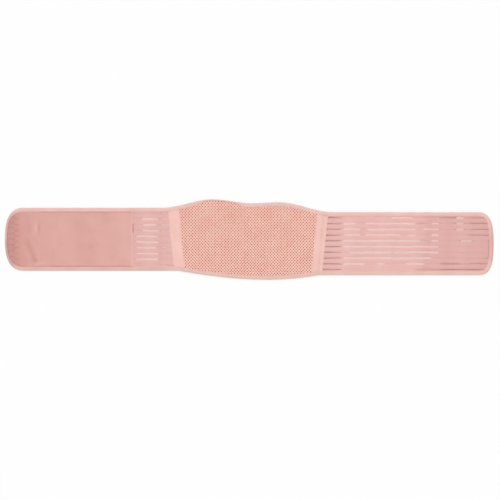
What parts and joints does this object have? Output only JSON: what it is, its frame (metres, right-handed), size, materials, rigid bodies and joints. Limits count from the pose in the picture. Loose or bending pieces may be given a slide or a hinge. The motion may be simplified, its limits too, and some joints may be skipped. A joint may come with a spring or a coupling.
{
  "type": "lumbar support belt",
  "caption": "Long flat back-support belt: shaped mesh back panel with flat stays, openwork elastic wings, bound edges, a loop pad on one end and a hook patch behind the other.",
  "frame": {"origin": "under the middle of the belt's box, on the surface that it lies on", "axes": "+X along the belt towards the hook end, +Y up the wearer's back, +Z out of the outer face"},
  "size_m": [1.05, 0.1728, 0.006],
  "materials": {
    "face_mesh": "matt knitted air mesh",
    "spacer_core": "open spacer knit",
    "lining": "soft brushed knit",
    "edge_binding": "folded matt tape with two stitch rows",
    "stay_pocket": "woven tape",
    "stay_tip": "dipped cap",
    "stay_steel": "flat spring strip",
    "seam_tape": "woven tape, stitched along both edges",
    "backing": "woven tape",
    "openwork_elastic": "knitted elastic with rows of openings",
    "loop_pad": "brushed loop laminate",
    "hook_tape": "fine moulded hooks"
  },
  "bodies": {
    "back_centre": {"centre_face": "face_mesh", "centre_core": "spacer_core", "centre_lining": "lining", "centre_binding": "edge_binding", "inner_left_stay": "stay_steel", "inner_right_stay": "stay_steel", "inner_left_pocket": "stay_pocket", "inner_right_pocket": "stay_pocket", "centre_stay_tips": "stay_tip"},
    "left_side": {"left_face": "face_mesh", "left_core": "spacer_core", "left_lining": "lining", "left_side_binding": "edge_binding", "left_side_elastic": "openwork_elastic", "outer_left_stay": "stay_steel", "outer_left_pocket": "stay_pocket", "left_stay_tips": "stay_tip", "left_seam_tape": "seam_tape", "left_backing_strip": "backing"},
    "right_side": {"right_face": "face_mesh", "right_core": "spacer_core", "right_lining": "lining", "right_side_binding": "edge_binding", "right_side_elastic": "openwork_elastic", "outer_right_stay": "stay_steel", "outer_right_pocket": "stay_pocket", "right_stay_tips": "stay_tip", "right_seam_tape": "seam_tape", "right_backing_strip": "backing"},
    "left_wing": {"left_wing_elastic": "openwork_elastic", "left_wing_binding": "edge_binding"},
    "left_pad_root": {"left_pad_elastic": "openwork_elastic", "left_pad_binding": "edge_binding", "loop_pad_inner": "loop_pad"},
    "left_tail": {"left_tail_elastic": "openwork_elastic", "left_tail_binding": "edge_binding", "loop_pad_middle": "loop_pad"},
    "left_end": {"left_end_elastic": "openwork_elastic", "left_end_binding": "edge_binding", "loop_pad_outer": "loop_pad"},
    "right_wing": {"right_wing_elastic": "openwork_elastic", "right_wing_binding": "edge_binding"},
    "right_reach": {"right_reach_elastic": "openwork_elastic", "right_reach_binding": "edge_binding"},
    "right_tail": {"right_tail_elastic": "openwork_elastic", "right_tail_binding": "edge_binding"},
    "right_end": {"right_end_elastic": "openwork_elastic", "right_end_binding": "edge_binding", "hook_patch": "hook_tape"}
  },
  "joints": [
    {"name": "left_panel_bend", "type": "hinge", "parent": "back_centre", "child": "left_side", "pos_m": [-0.0726, 0, 0.003], "axis": [0, -1, 0], "range_deg": [-24.31, 40.51]},
    {"name": "left_wing_fold", "type": "hinge", "parent": "left_side", "child": "left_wing", "pos_m": [-0.19385, 0, 0.0016], "axis": [0, -1, 0], "range_deg": [-31.8, 53]},
    {"name": "left_stretch", "type": "slide", "parent": "left_wing", "child": "left_pad_root", "axis": [-1, 0, 0], "range_m": [0, 0.01501], "stiffness_N_per_m": 800},
    {"name": "left_pad_inner_fold", "type": "hinge", "parent": "left_pad_root", "child": "left_tail", "pos_m": [-0.29975, 0, 0.0022], "axis": [0, -1, 0], "range_deg": [-27.31, 45.51]},
    {"name": "left_pad_outer_fold", "type": "hinge", "parent": "left_tail", "child": "left_end", "pos_m": [-0.37575, 0, 0.0022], "axis": [0, -1, 0], "range_deg": [-23.71, 39.51]},
    {"name": "right_panel_bend", "type": "hinge", "parent": "back_centre", "child": "right_side", "pos_m": [0.0674, 0, 0.003], "axis": [0, 1, 0], "range_deg": [-24.31, 40.51]},
    {"name": "right_wing_fold", "type": "hinge", "parent": "right_side", "child": "right_wing", "pos_m": [0.20045, 0, 0.0016], "axis": [0, 1, 0], "range_deg": [-32.4, 54]},
    {"name": "right_middle_fold", "type": "hinge", "parent": "right_wing", "child": "right_reach", "pos_m": [0.28805, 0, 0.0016], "axis": [0, 1, 0], "range_deg": [-28.21, 47.01]},
    {"name": "right_stretch", "type": "slide", "parent": "right_reach", "child": "right_tail", "axis": [1, 0, 0], "range_m": [0, 0.027], "stiffness_N_per_m": 500},
    {"name": "right_end_fold", "type": "hinge", "parent": "right_tail", "child": "right_end", "pos_m": [0.4039, 0, 0.0016], "axis": [0, 1, 0], "range_deg": [-24.01, 40.01]}
  ],
  "couplings": [
    {"joint": "left_panel_bend", "follows": "left_wing_fold", "ratio": 0.76415},
    {"joint": "left_pad_inner_fold", "follows": "left_wing_fold", "ratio": 0.85849},
    {"joint": "left_pad_outer_fold", "follows": "left_wing_fold", "ratio": 0.74528},
    {"joint": "right_panel_bend", "follows": "right_wing_fold", "ratio": 0.75},
    {"joint": "right_middle_fold", "follows": "right_wing_fold", "ratio": 0.87037},
    {"joint": "right_end_fold", "follows": "right_wing_fold", "ratio": 0.74074},
    {"joint": "left_stretch", "follows": "right_stretch", "ratio": 0.55556}
  ]
}
